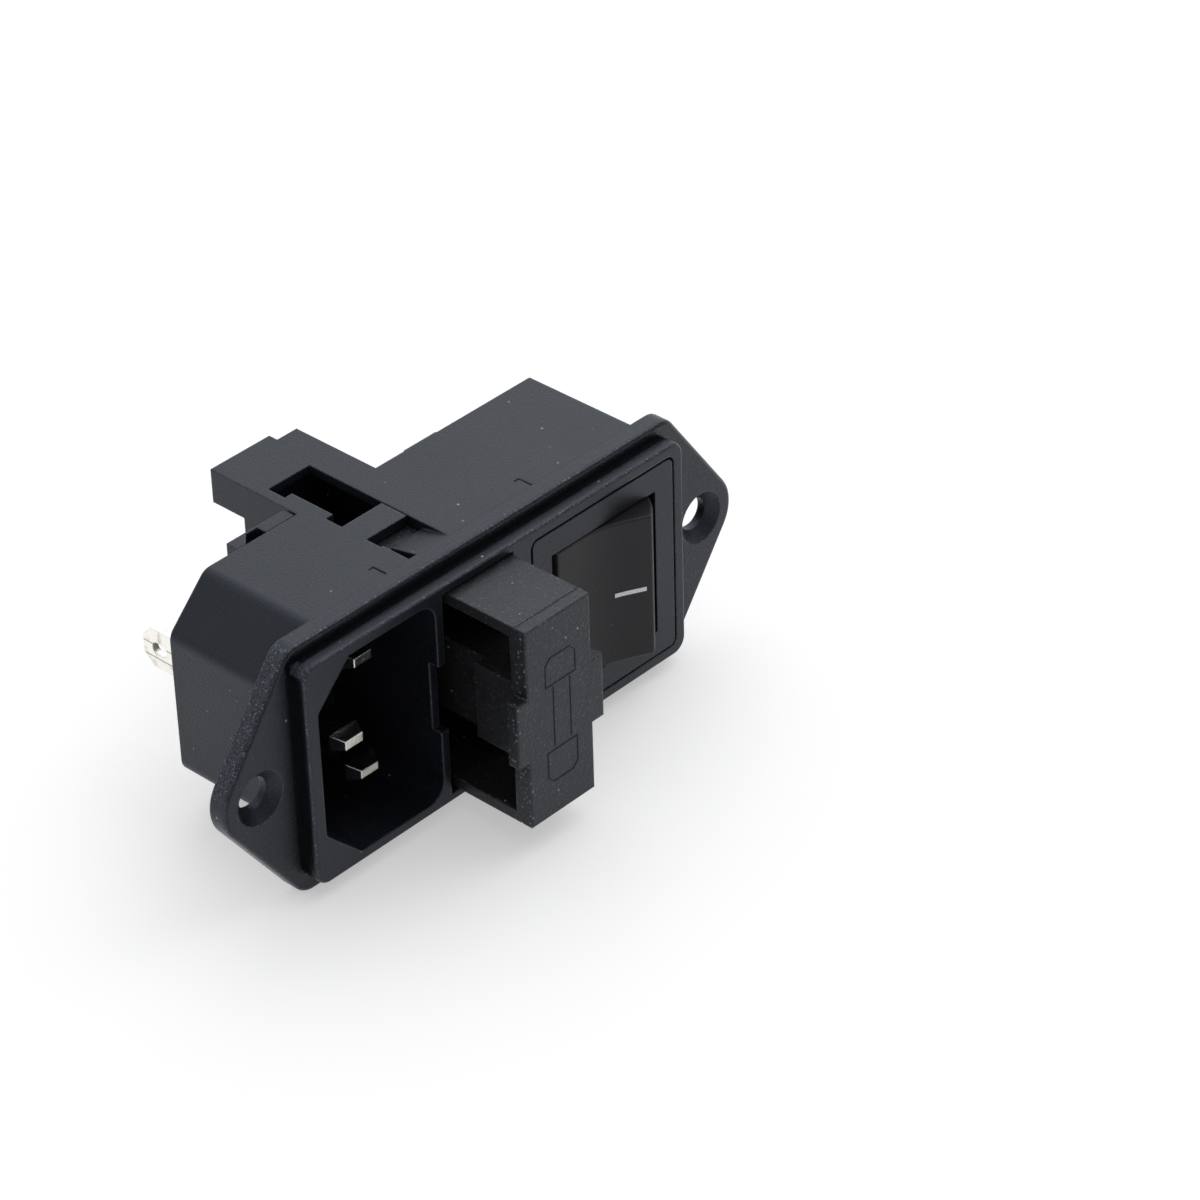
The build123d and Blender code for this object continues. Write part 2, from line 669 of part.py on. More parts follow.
# Terminals, seesaw contacts and plungers, once per pole
for side, pole in ((1, "upper"), (-1, "lower")):
    tab_end = body_depth + switch_tab_length
    pole_plane = Plane.XY.offset(side * pole_z)

    # Plunger: pin with a round nose that runs in a socket of the rocker
    with BuildPart() as plunger:
        with BuildSketch(along_rocker(side * pole_z).offset(plunger_reach - plunger_length)):
            Circle(plunger_radius)
        extrude(amount=plunger_length - plunger_radius)
        with Locations(along_rocker(side * pole_z).offset(plunger_reach - plunger_radius)):
            Sphere(plunger_radius)
    keep(plunger, pole + "_plunger")

    # Spring between the bottom of the socket and the plunger
    spring_length = plunger_reach - plunger_length - socket_bottom - 2 * spring_wire
    seat = along_rocker(side * pole_z).offset(socket_bottom + spring_wire)
    with BuildPart() as spring:
        with BuildLine() as coil:
            Helix(spring_length / spring_turns, spring_length, spring_radius, seat.origin, seat.z_dir)
        with BuildSketch(Plane(origin=coil.line @ 0, z_dir=coil.line % 0)):
            RegularPolygon(spring_wire, 4)
        sweep()
    keep(spring, pole + "_plunger_spring")

    # Seesaw contact: shallow V of strip with a round knuckle behind and a rivet at the left
    lean = radians(seesaw_tilt)
    rise = seesaw_half_length * tan(lean)
    seesaw_origin = (switch_x, seesaw_axis_y, side * pole_z)
    seesaw_plane = Plane(origin=seesaw_origin, x_dir=(cos(lean), sin(lean), 0), z_dir=(0, 0, 1))
    with BuildPart() as seesaw:
        with BuildSketch(seesaw_plane):
            with BuildLine():
                Polyline(
                    (-seesaw_half_length, -rise),
                    (0, 0),
                    (seesaw_half_length, -rise),
                    (seesaw_half_length, -rise - seesaw_thickness),
                    (0, -seesaw_thickness),
                    (-seesaw_half_length, -rise - seesaw_thickness),
                    close=True,
                )
            make_face()
            Circle(seesaw_thickness)
        extrude(amount=seesaw_width / 2, both=True)
        rivet_seat = seesaw_plane.from_local_coords((-rivet_offset, -rivet_offset * tan(lean), 0))
        with BuildSketch(Plane(origin=rivet_seat, z_dir=(-sin(2 * lean), cos(2 * lean), 0))):
            Circle(rivet_radius)
        extrude(amount=rivet_height)
    keep(seesaw, pole + "_seesaw")

    # Pivot terminal: blade with a cradle for the knuckle at the front and a tab at the rear
    with BuildPart() as pivot_terminal:
        with BuildSketch(pole_plane) as blade:
            left = pivot_tab_x - tab_width / 2
            span(left, left + tab_width, seesaw_axis_y + cradle_lip, tab_end)
            chamfer(blade.vertices().group_by(Axis.Y)[-1], length=tab_chamfer)
            with Locations((switch_x, seesaw_axis_y)):
                Circle(seesaw_thickness + cradle_clearance, mode=Mode.SUBTRACT)
            with Locations((pivot_tab_x, tab_end - tab_hole_inset)):
                SlotOverall(tab_hole_radius * 3, tab_hole_radius * 2, rotation=90, mode=Mode.SUBTRACT)
        extrude(amount=tab_thickness / 2, both=True)
    keep(pivot_terminal, pole + "_pivot_terminal")

    # Load terminal: fixed contact button on a foot, and a tab at the rear
    with BuildPart() as load_terminal:
        with BuildSketch(pole_plane) as blade:
            left = load_tab_x - tab_width / 2
            span(left, left + tab_width, button_front + button_height, tab_end)
            chamfer(blade.vertices().group_by(Axis.Y)[-1], length=tab_chamfer)
            with Locations((load_tab_x, tab_end - tab_hole_inset)):
                SlotOverall(tab_hole_radius * 3, tab_hole_radius * 2, rotation=90, mode=Mode.SUBTRACT)
        extrude(amount=tab_thickness / 2, both=True)
        with BuildSketch(across(button_front + button_height)):
            with Locations((load_tab_x + tab_width / 4, side * pole_z)):
                Rectangle(tab_width / 2, seesaw_width)
        extrude(amount=-foot_thickness)
        with BuildSketch(across(button_front)):
            with Locations((switch_x - rivet_offset, side * pole_z)):
                Circle(rivet_radius)
        extrude(amount=-button_height)
    keep(load_terminal, pole + "_load_terminal")
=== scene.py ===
from math import radians

import bpy
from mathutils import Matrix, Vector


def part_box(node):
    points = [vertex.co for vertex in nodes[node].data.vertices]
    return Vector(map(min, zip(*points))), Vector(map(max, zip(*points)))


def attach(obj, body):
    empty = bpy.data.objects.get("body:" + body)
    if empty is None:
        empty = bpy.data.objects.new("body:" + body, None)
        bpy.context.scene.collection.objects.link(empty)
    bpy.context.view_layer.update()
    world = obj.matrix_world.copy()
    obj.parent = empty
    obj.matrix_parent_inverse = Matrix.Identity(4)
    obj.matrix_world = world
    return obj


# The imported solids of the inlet. They keep their places and their shapes, and
# each section below gives one group of them its finish.
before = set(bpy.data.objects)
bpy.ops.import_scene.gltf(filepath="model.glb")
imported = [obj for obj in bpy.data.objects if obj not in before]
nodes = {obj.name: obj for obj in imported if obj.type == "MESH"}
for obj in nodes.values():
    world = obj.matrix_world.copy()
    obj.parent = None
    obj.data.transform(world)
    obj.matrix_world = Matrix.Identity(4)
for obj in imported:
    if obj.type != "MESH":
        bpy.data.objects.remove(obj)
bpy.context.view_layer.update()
bpy.ops.object.select_all(action="DESELECT")


# Housing and inlet insert: glass-filled black plastic, injection moulded in a
# spark-eroded tool. The skin has the tool's fine grain, cloudy patches left by
# handling and pale dust specks. Its edges are smoother from rubbing and painted
# paler, partly wear and partly painted highlight, and painted glints sit on single pits.
def new_group(name, inputs, outputs):
    """Start a finish that more than one material uses, with its named sockets."""
    group = bpy.data.node_groups.new(name, "ShaderNodeTree")
    for label, kind, value in inputs:
        socket = group.interface.new_socket(label, in_out="INPUT", socket_type=kind)
        socket.default_value = value
    for label, kind in outputs:
        group.interface.new_socket(label, in_out="OUTPUT", socket_type=kind)
    given = group.nodes.new("NodeGroupInput").outputs
    result = group.nodes.new("NodeGroupOutput").inputs
    return group, given, result


def feed(tree, socket, value):
    """Wire an output into a socket, or write a plain number or colour there."""
    if isinstance(value, bpy.types.NodeSocket):
        tree.links.new(value, socket)
    else:
        socket.default_value = value


def put(tree, kind, inputs=None, **settings):
    """Add a node with its settings and feed its inputs."""
    node = tree.nodes.new(kind)
    for key, value in settings.items():
        setattr(node, key, value)
    for key, value in (inputs or {}).items():
        feed(tree, node.inputs[key], value)
    return node


def maths(tree, operation, *values, clamp=False):
    inputs = dict(enumerate(values))
    return put(tree, "ShaderNodeMath", inputs, operation=operation, use_clamp=clamp).outputs[0]


def times(tree, first, *others, clamp=False):
    """Multiply any number of masks and numbers."""
    for other in others:
        first = maths(tree, "MULTIPLY", first, other, clamp=clamp)
    return first


def ramp(tree, value, low, high):
    """A soft mask that is 0 at low and 1 at high."""
    inputs = {"Value": value, "From Min": low, "From Max": high}
    return put(tree, "ShaderNodeMapRange", inputs, interpolation_type="SMOOTHSTEP").outputs["Result"]


def blend_colour(tree, factor, a, b, way="MIX"):
    inputs = {"Factor": factor, 6: a, 7: b}
    return put(tree, "ShaderNodeMix", inputs, data_type="RGBA", blend_type=way).outputs[2]


def blend_number(tree, factor, a, b):
    return put(tree, "ShaderNodeMix", {"Factor": factor, 2: a, 3: b}, data_type="FLOAT").outputs[0]


def split(tree, vector):
    return put(tree, "ShaderNodeSeparateXYZ", {"Vector": vector}).outputs


def vector_maths(tree, operation, output, *vectors):
    inputs = dict(enumerate(vectors))
    return put(tree, "ShaderNodeVectorMath", inputs, operation=operation).outputs[output]


def unsigned(tree, vector):
    """The three parts of a place or a normal, the same on both sides of the middle."""
    return split(tree, vector_maths(tree, "ABSOLUTE", "Vector", vector))


screw_x = 0.0329
countersink_radius = 0.0033


def clear_of_screws(tree, outward):
    """A mask that leaves out the countersinks, which the tool leaves smooth."""
    from_screw = {"X": maths(tree, "SUBTRACT", outward["X"], screw_x), "Z": outward["Z"]}
    from_screw = put(tree, "ShaderNodeCombineXYZ", from_screw).outputs["Vector"]
    distance = vector_maths(tree, "LENGTH", "Value", from_screw)
    return maths(tree, "GREATER_THAN", distance, countersink_radius)


skin, given, result = new_group(
    "moulded_skin",
    (
        ("Colour", "NodeSocketColor", (0.01, 0.01, 0.01, 1)),
        ("Grain per metre", "NodeSocketFloat", 5200.0),
        ("Roughness", "NodeSocketFloat", 0.4),
        ("Edge width", "NodeSocketFloat", 0.00025),
        ("Dust", "NodeSocketFloat", 0.5),
        ("Sparkle", "NodeSocketFloat", 0.5),
        ("Rub and sheen", "NodeSocketFloat", 0.35),
        ("Inner corners", "NodeSocketFloat", 0.0),
        ("Grained to y", "NodeSocketFloat", 1.0),
    ),
    (
        ("Colour", "NodeSocketColor"),
        ("Roughness", "NodeSocketFloat"),
        ("Height", "NodeSocketFloat"),
        ("Edge normal", "NodeSocketVector"),
    ),
)
place = put(skin, "ShaderNodeTexCoord").outputs["Object"]
surface = put(skin, "ShaderNodeNewGeometry").outputs

grain_detail = 3
grain_sharpness = 0.6
pits_to_grain = 0.6
pit_depth = 0.7
inputs = {"Vector": place, "Scale": given["Grain per metre"],
          "Detail": grain_detail, "Roughness": grain_sharpness}
grain = put(skin, "ShaderNodeTexNoise", inputs).outputs["Fac"]
inputs = {"Vector": place, "Scale": times(skin, given["Grain per metre"], pits_to_grain)}
pits = put(skin, "ShaderNodeTexVoronoi", inputs, feature="F1").outputs
feed(skin, result["Height"], maths(skin, "ADD", grain, times(skin, pits["Distance"], pit_depth)))

clouds_per_metre = 95
cloud_detail = 4
cloud_levels = (0.35, 0.68)
inputs = {"Vector": place, "Scale": clouds_per_metre, "Detail": cloud_detail}
cloud = ramp(skin, put(skin, "ShaderNodeTexNoise", inputs).outputs["Fac"], *cloud_levels)

dust_cells_per_metre = 560
speck_rim_to_middle = (0.1, 0.04)
speck_draw = (0.72, 0.95)
inputs = {"Vector": place, "Scale": dust_cells_per_metre}
cells = put(skin, "ShaderNodeTexVoronoi", inputs, feature="F1").outputs
draw = put(skin, "ShaderNodeSeparateColor", {"Color": cells["Color"]}).outputs["Red"]
speck = times(skin, ramp(skin, cells["Distance"], *speck_rim_to_middle),
              ramp(skin, draw, *speck_draw), given["Dust"])

# Where the skin is painted paler, partly wear and partly painted highlight: sharp
# corners that point outwards, and the rounded rims outside the openings, as far
# back as the grain goes.
openings_to_x = 0.0274
openings_to_z = 0.0124
flat_to_round = (0.985, 0.9)
flat_to_corner = (0.995, 0.9)
hollow_to_convex = (0.48, 0.5)
rub_sheen_on_grain = (0.38, 0.68)
rim_rub_sheen = 0.65
smooth_behind = 0.85
soft_edge = put(skin, "ShaderNodeBevel", {"Radius": given["Edge width"]}, samples=6).outputs["Normal"]
feed(skin, result["Edge normal"], soft_edge)
turn = vector_maths(skin, "DOT_PRODUCT", "Value", soft_edge, surface["Normal"])
outward = unsigned(skin, place)
facing = unsigned(skin, surface["Normal"])
behind = maths(skin, "GREATER_THAN", split(skin, place)["Y"], given["Grained to y"])
grained = maths(skin, "SUBTRACT", 1, times(skin, behind, smooth_behind))
squareness = maths(skin, "MAXIMUM", facing["X"], maths(skin, "MAXIMUM", facing["Y"], facing["Z"]))
outside = maths(skin, "MAXIMUM", maths(skin, "GREATER_THAN", outward["X"], openings_to_x),
                maths(skin, "GREATER_THAN", outward["Z"], openings_to_z))
rounded = times(skin, ramp(skin, squareness, *flat_to_round), maths(skin, "SUBTRACT", 1, behind),
                outside, clear_of_screws(skin, outward), rim_rub_sheen)
convex = ramp(skin, surface["Pointiness"], *hollow_to_convex)
convex = maths(skin, "MAXIMUM", convex, given["Inner corners"])
corner = times(skin, ramp(skin, turn, *flat_to_corner), convex)
edge = maths(skin, "MAXIMUM", corner, rounded)
rub_sheen_mask = times(skin, edge, ramp(skin, grain, *rub_sheen_on_grain))

# Sparks: painted glints, single pits of the grain painted pale grey as if they
# caught the light, most of them on edges.
spark_rim_to_middle = (0.5, 0.2)
spark_draw = (0.6, 0.95)
spark_on_flats = 0.12
draw = put(skin, "ShaderNodeSeparateColor", {"Color": pits["Color"]}).outputs["Green"]
spark = times(skin, ramp(skin, pits["Distance"], *spark_rim_to_middle),
              ramp(skin, draw, *spark_draw), grained, given["Sparkle"])
spark = times(skin, spark, maths(skin, "ADD", spark_on_flats, edge), clamp=True)

bare_black = (0, 0, 0, 1)
handled_haze = (0.003, 0.003, 0.0035, 1)
# Painted highlight along with wear: the pale grey laid on edges and rims.
rub_sheen_grey = (0.16, 0.17, 0.2, 1)
# Painted glint: the pale grey of the sparks.
glint_grey = (0.2, 0.21, 0.24, 1)
dust_beige = (0.5, 0.49, 0.46, 1)
hazy = blend_colour(skin, cloud, bare_black, handled_haze)
tinted = blend_colour(skin, 1, given["Colour"], hazy, way="ADD")
edge_lit = blend_colour(skin, times(skin, rub_sheen_mask, given["Rub and sheen"]), tinted, rub_sheen_grey)
sparkling = blend_colour(skin, spark, edge_lit, glint_grey)
feed(skin, result["Colour"], blend_colour(skin, speck, sparkling, dust_beige))

grain_middle = 0.5
uneven = 0.25
edge_polish = 0.06
cloud_dullness = 0.05
rough = times(skin, maths(skin, "SUBTRACT", grain, grain_middle), uneven)
rough = maths(skin, "ADD", given["Roughness"], rough)
rough = maths(skin, "SUBTRACT", rough, times(skin, edge, edge_polish))
rough = maths(skin, "ADD", rough, times(skin, cloud, cloud_dullness), clamp=True)
feed(skin, result["Roughness"], rough)


def dress(name, group, relief, strength, values):
    """Make a material of a finish group, with its height as a bump."""
    material = bpy.data.materials.new(name)
    material.use_nodes = True
    tree = material.node_tree
    finish = put(tree, "ShaderNodeGroup", node_tree=group)
    for label, value in values.items():
        finish.inputs[label].default_value = value
    inputs = {"Strength": strength, "Distance": relief,
              "Height": finish.outputs["Height"], "Normal": finish.outputs["Edge normal"]}
    bump = put(tree, "ShaderNodeBump", inputs)
    shader = tree.nodes["Principled BSDF"]
    feed(tree, shader.inputs["Base Color"], finish.outputs["Colour"])
    feed(tree, shader.inputs["Roughness"], finish.outputs["Roughness"])
    feed(tree, shader.inputs["Normal"], bump.outputs["Normal"])
    return material, tree, shader, finish


grain_relief = 0.00006


def moulded(name, colour, roughness, grain_per_metre, bump, dust, edge_width,
            shine=0.5, tint=(0.74, 0.84, 1), sparkle=0.4, grained_to=1, rub_sheen=0.35, inner=1):
    values = {
        "Colour": (*colour, 1), "Grain per metre": grain_per_metre, "Roughness": roughness,
        "Edge width": edge_width, "Dust": dust, "Sparkle": sparkle, "Rub and sheen": rub_sheen,
        "Inner corners": inner, "Grained to y": grained_to,
    }
    material, tree, shader, finish = dress(name, skin, grain_relief, bump, values)
    shader.inputs["Specular IOR Level"].default_value = shine
    shader.inputs["Specular Tint"].default_value = (*tint, 1)
    return material, tree, shader, finish


def cover(material, *names):
    """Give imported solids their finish."""
    for name in names:
        slots = nodes[name].data.materials
        slots.clear()
        slots.append(material)


corner_width = 0.0003
housing_black, tree, shader, finish = moulded(
    "housing_black", colour=(0.0082, 0.0093, 0.0135), roughness=0.37, grain_per_metre=6200,
    bump=0.5, dust=0.9, edge_width=corner_width, shine=0.36, sparkle=0.9, grained_to=0.0002,
    rub_sheen=0.6, inner=0,
)
cover(housing_black, "housing", "inlet_insert")

# Foot of the boss and rim of the flange: painted shade. The wall where the boss
# rises from the flange, the border beside it and a thin line around the flange's
# front are painted black and made glossy, standing in for the shade and dark
# reflections there.
boss_side = 0.0279
boss_top = 0.0135
side_border = 0.0009
top_border = 0.0017
side_wall_front = -0.0041
top_wall_front = -0.0033
wall_fade = 0.0007
black_share = 0.25
edge_fillet_to_wall = (-0.0002, -0.00005)
foot_back = -0.0021
place = put(tree, "ShaderNodeTexCoord").outputs["Object"]
outward = unsigned(tree, place)
depth = split(tree, place)["Y"]
borders = []
for axis, wall, border, wall_front in (
    ("X", boss_side, side_border, side_wall_front), ("Z", boss_top, top_border, top_wall_front),
):
    away = maths(tree, "SUBTRACT", outward[axis], wall)
    borders.append(times(tree, ramp(tree, away, border, border * black_share),
                         ramp(tree, away, *edge_fillet_to_wall),
                         ramp(tree, depth, wall_front, wall_front + wall_fade)))
boss_foot_shade = times(tree, maths(tree, "MAXIMUM", *borders), maths(tree, "LESS_THAN", depth, foot_back))
# No soft edge inside the painted shade band, so its inner corner shows no pale line.
open_corner = times(tree, maths(tree, "SUBTRACT", 1, boss_foot_shade), corner_width)
feed(tree, finish.inputs["Edge width"], open_corner)

# A thin line around the flange's front, painted near black: painted shade.
rim_front = -0.00225
rim_back = -0.0015
rim_inner_side = (0.999, 0.988)
rim_outer_side = (0.6, 0.82)
rim_shade_strength = 0.8
front_facing = unsigned(tree, put(tree, "ShaderNodeNewGeometry").outputs["Normal"])["Y"]
rim_shade_line = times(tree, ramp(tree, front_facing, *rim_outer_side), ramp(tree, front_facing, *rim_inner_side),
            maths(tree, "GREATER_THAN", depth, rim_front), maths(tree, "LESS_THAN", depth, rim_back),
            clear_of_screws(tree, outward))
painted_shade_mask = maths(tree, "MAXIMUM", boss_foot_shade, times(tree, rim_shade_line, rim_shade_strength))

# Painted shade: the foot of the boss and the flange's rim line are painted near black and made glossier.
painted_shade_black = (0.0002, 0.0002, 0.0003, 1)
painted_shade_cover = 0.95
shade_band_roughness = 0.22
painted_shade_share = times(tree, painted_shade_mask, painted_shade_cover)
blackened = blend_colour(tree, painted_shade_share, finish.outputs["Colour"], painted_shade_black)
feed(tree, shader.inputs["Base Color"], blackened)
smoothed = blend_number(tree, painted_shade_mask, finish.outputs["Roughness"], shade_band_roughness)
feed(tree, shader.inputs["Roughness"], smoothed)

# Line and neutral pins: solid brass blades with a bright nickel plate, with fine
# lengthways drawing marks and a few stains in the plate.
plate, given, result = new_group(
    "plated_strip",
    (
        ("Colour", "NodeSocketColor", (0.7, 0.68, 0.64, 1)),
        ("Roughness", "NodeSocketFloat", 0.25),
        ("Edge width", "NodeSocketFloat", 0.00012),
        ("Edge shine", "NodeSocketFloat", 0.3),
    ),
    (
        ("Colour", "NodeSocketColor"),
        ("Roughness", "NodeSocketFloat"),
        ("Height", "NodeSocketFloat"),
        ("Edge normal", "NodeSocketVector"),
    ),
)
marks_per_metre = (9000, 500, 9000)
mark_detail = 3
stains_per_metre = 900
stain_detail = 4
stain_levels = (0.5, 0.75)
stain_colour = (0.72, 0.68, 0.6, 1)
stain_dullness = 0.15
mark_dullness = 0.12
blade_to_edge = (0.99, 0.88)
edge_highlight_white = (0.97, 0.96, 0.93, 1)
place = put(plate, "ShaderNodeTexCoord").outputs["Object"]
along = put(plate, "ShaderNodeMapping", {"Vector": place, "Scale": marks_per_metre}).outputs["Vector"]
inputs = {"Vector": along, "Scale": 1, "Detail": mark_detail}
marks = put(plate, "ShaderNodeTexNoise", inputs).outputs["Fac"]
inputs = {"Vector": place, "Scale": stains_per_metre, "Detail": stain_detail}
stain = ramp(plate, put(plate, "ShaderNodeTexNoise", inputs).outputs["Fac"], *stain_levels)
rough = maths(plate, "ADD", given["Roughness"], times(plate, stain, stain_dullness))
rough = maths(plate, "ADD", rough, times(plate, marks, mark_dullness), clamp=True)
feed(plate, result["Roughness"], rough)
feed(plate, result["Height"], marks)
soft_edge = put(plate, "ShaderNodeBevel", {"Radius": given["Edge width"]}, samples=6).outputs["Normal"]
feed(plate, result["Edge normal"], soft_edge)
true_normal = put(plate, "ShaderNodeNewGeometry").outputs["Normal"]
turn = vector_maths(plate, "DOT_PRODUCT", "Value", soft_edge, true_normal)
# The edges are painted near white, as much as Edge shine gives: painted highlight.
edge_highlight_share = times(plate, ramp(plate, turn, *blade_to_edge), given["Edge shine"])
dulled = blend_colour(plate, stain, given["Colour"], stain_colour, way="MULTIPLY")
feed(plate, result["Colour"], blend_colour(plate, edge_highlight_share, dulled, edge_highlight_white))
mark_relief = 0.00002


def plated(name, colour, roughness, bump, edge_shine=0.3, edge_width=0.00012):
    values = {"Colour": (*colour, 1), "Roughness": roughness,
              "Edge shine": edge_shine, "Edge width": edge_width}
    material, tree, shader, finish = dress(name, plate, mark_relief, bump, values)
    shader.inputs["Metallic"].default_value = 1
    return material, tree, shader, finish


pin_colour = (0.56, 0.54, 0.5)
pin_roughness = 0.08
nickel = plated(
    "nickel_plate", pin_colour, pin_roughness, bump=0.3, edge_shine=1.0, edge_width=0.0002
)[0]
cover(nickel, "line_pin", "neutral_pin")

# Earth contact: one brass strip, bright on the pin and tinned pale and satin on
# the tab behind the body. The tab is coined with two creases along its length,
# one on each side of the hole, drawn as dark lines of painted shade.
tab_start = 0.0165
tab_colour = (0.96, 0.94, 0.88)
tab_roughness = 0.36
crease_heights = (0.0004, -0.0012)
crease_width = 0.00013
crease_core = crease_width / 3
# Painted shade: the dark colour laid along each crease.
crease_shade_colour = (0.25, 0.24, 0.21, 1)
crease_shade_strength = 0.75
coined, tree, shader, finish = plated(
    "coined_tin", tab_colour, tab_roughness, bump=0.5, edge_shine=0.9, edge_width=0.0002
)
place = split(tree, put(tree, "ShaderNodeTexCoord").outputs["Object"])
tab = maths(tree, "GREATER_THAN", place["Y"], tab_start)
feed(tree, finish.inputs["Colour"], blend_colour(tree, tab, (*pin_colour, 1), (*tab_colour, 1)))
matt = times(tree, tab, tab_roughness - pin_roughness)
feed(tree, finish.inputs["Roughness"], maths(tree, "ADD", matt, pin_roughness))
creases = []
for height in crease_heights:
    away = maths(tree, "ABSOLUTE", maths(tree, "SUBTRACT", place["Z"], height))
    creases.append(ramp(tree, away, crease_width, crease_core))
crease_shade = times(tree, maths(tree, "MAXIMUM", *creases), tab, crease_shade_strength)
crease_shaded = blend_colour(tree, crease_shade, finish.outputs["Colour"], crease_shade_colour)
feed(tree, shader.inputs["Base Color"], crease_shaded)
cover(coined, "earth_contact")

# Fuse contacts: tinned bronze spring strip, bent from the pins to the fuses and
# from the fuses to the switch.
bronze = plated("spring_bronze", colour=(0.70, 0.64, 0.55), roughness=0.28, bump=0.4)[0]
cover(bronze, "line_rear_contact", "neutral_rear_contact", "line_front_contact", "neutral_front_contact")

# Fuse drawer: one black moulding from its own tool, a little flatter and coarser in
# finish. Its left front edge is painted with more glints and paler edges: painted highlight.
edge_band_back = 0.0016
edge_band_in = 0.0003
edge_band_facing = -0.5
face_sparkle, edge_sparkle = 1.6, 10.6
face_rub_sheen, edge_rub_sheen = 0.35, 1.0
drawer_black, tree, shader, finish = moulded(
    "drawer_black", colour=(0.0135, 0.0133, 0.0142), roughness=0.42, grain_per_metre=4600,
    bump=0.6, dust=0.7, edge_width=0.0003, shine=0.4,
)
drawer_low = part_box("fuse_drawer")[0]
place = split(tree, put(tree, "ShaderNodeTexCoord").outputs["Object"])
facing = split(tree, put(tree, "ShaderNodeNewGeometry").outputs["Normal"])
at_front = maths(tree, "LESS_THAN", place["Y"], drawer_low[1] + edge_band_back)
at_left = maths(tree, "LESS_THAN", place["X"], drawer_low[0] + edge_band_in)
at_left = maths(tree, "MAXIMUM", at_left, maths(tree, "LESS_THAN", facing["X"], edge_band_facing))
left_front_edge = times(tree, at_front, at_left)
for label, new, edge_lit in (("Sparkle", face_sparkle, edge_sparkle), ("Rub and sheen", face_rub_sheen, edge_rub_sheen)):
    feed(tree, finish.inputs[label], maths(tree, "ADD", times(tree, left_front_edge, edge_lit - new), new))
cover(drawer_black, "fuse_drawer")

# Outline of a fuse on the front of the drawer: fine lines of the moulding, barely
# proud of the face and coloured blacker than it as painted shade, standing in for
# the shade inside the outline's engraved grooves. Each cap is a closed loop with
# its two outer corners rounded, and two straight lines join the caps.
line_width = 0.00013
line_height = 0.00004
symbol_x = -0.00275
cap_width = 0.0045
cap_corner = 0.0008
body_tall = 0.0074
# Painted shade: the lines are coloured blacker than the face.
outline_shade_black = moulded(
    "outline_shade_black", colour=(0.003, 0.003, 0.0035), roughness=0.5, grain_per_metre=6000,
    bump=0.3, dust=0.0, edge_width=0.00005, shine=0.2,
)[0]


def front_rectangle(name, x, z, width, tall):
    """A flat rectangle on the front face of the drawer."""
    bpy.ops.mesh.primitive_plane_add(
        size=1, location=(x, drawer_low[1], z), rotation=(radians(90), 0, 0)
    )
    piece = bpy.context.object
    piece.name = name
    piece.scale = (width, tall, 1)
    bpy.ops.object.transform_apply(location=True, rotation=True, scale=True)
    return piece


def raise_line(piece):
    """Give a flat outline its height and its finish, and fix it to the drawer."""
    bpy.context.view_layer.objects.active = piece
    solid = piece.modifiers.new("height", "SOLIDIFY")
    solid.thickness = 2 * line_height
    solid.offset = 0
    bpy.ops.object.modifier_apply(modifier="height")
    piece.data.materials.append(outline_shade_black)
    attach(piece, "drawer")
    piece.select_set(False)


for name, middle, tall, outer in (
    ("upper_cap_outline", 0.0057, 0.0035, 1), ("lower_cap_outline", -0.0061, 0.0040, -1),
):
    cap = front_rectangle(name, symbol_x, middle, cap_width, tall)
    bpy.ops.object.mode_set(mode="EDIT")
    bpy.ops.mesh.select_all(action="DESELECT")
    bpy.ops.object.mode_set(mode="OBJECT")
    for corner in cap.data.vertices:
        corner.select = (corner.co.z - middle) * outer > 0
    bpy.ops.object.mode_set(mode="EDIT")
    bpy.ops.mesh.select_mode(type="VERT")
    bpy.ops.mesh.bevel(offset=cap_corner, affect="VERTICES")
    bpy.ops.mesh.select_mode(type="FACE")
    bpy.ops.mesh.select_all(action="SELECT")
    bpy.ops.mesh.inset(thickness=line_width, depth=0)
    bpy.ops.mesh.delete(type="FACE")
    bpy.ops.object.mode_set(mode="OBJECT")
    raise_line(cap)
for name, x in (("left_body_line", -0.00385), ("right_body_line", -0.0014)):
    raise_line(front_rectangle(name, x, 0, line_width, body_tall))

# Switch case with its bezel: one black moulding with a finer grain than the
# housing, snapped into the housing's bay.
bezel_black = moulded(
    "bezel_black", colour=(0.009, 0.0092, 0.0105), roughness=0.4, grain_per_metre=6500,
    bump=0.35, dust=0.5, edge_width=0.00015, shine=0.38,
)[0]
cover(bezel_black, "switch_case")

# Rocker: smooth black plastic with a dished front, moulded in a polished tool. It
# clips into the case by its axle.
rocker_black = moulded(
    "rocker_black", colour=(0.0078, 0.0072, 0.0078), roughness=0.45, grain_per_metre=6500,
    bump=0.3, dust=1.0, edge_width=0.0003, shine=0.33, tint=(0.96, 0.94, 1), sparkle=0.3,
    grained_to=-1, rub_sheen=0.8,
)[0]
cover(rocker_black, "rocker")

# On mark: a short bar printed in pale ink along the right half of the rocker's dish.
# It is drawn flat in front of the dish, pressed onto it and given the ink's thickness.
mark_length = 0.0032
mark_width = 0.0005
mark_place = (0.01773, -0.012, -0.0002)
mark_lift = 0.00002
blotches_per_metre = 4200
blotch_detail = 3
thin_ink = (0.84, 0.9, 0.97, 1)
full_ink = (0.95, 0.98, 1, 1)
thin_to_full = (0.3, 0.6)
ink_dullness = (-0.4, 1.2)
bpy.ops.mesh.primitive_grid_add(
    x_subdivisions=12, y_subdivisions=2, size=1, location=mark_place, rotation=(radians(90), 0, 0)
)
on_mark = bpy.context.object
on_mark.name = "on_mark"
on_mark.scale = (mark_length, mark_width, 1)
bpy.ops.object.transform_apply(location=True, rotation=True, scale=True)
press = on_mark.modifiers.new("press", "SHRINKWRAP")
press.wrap_method = "PROJECT"
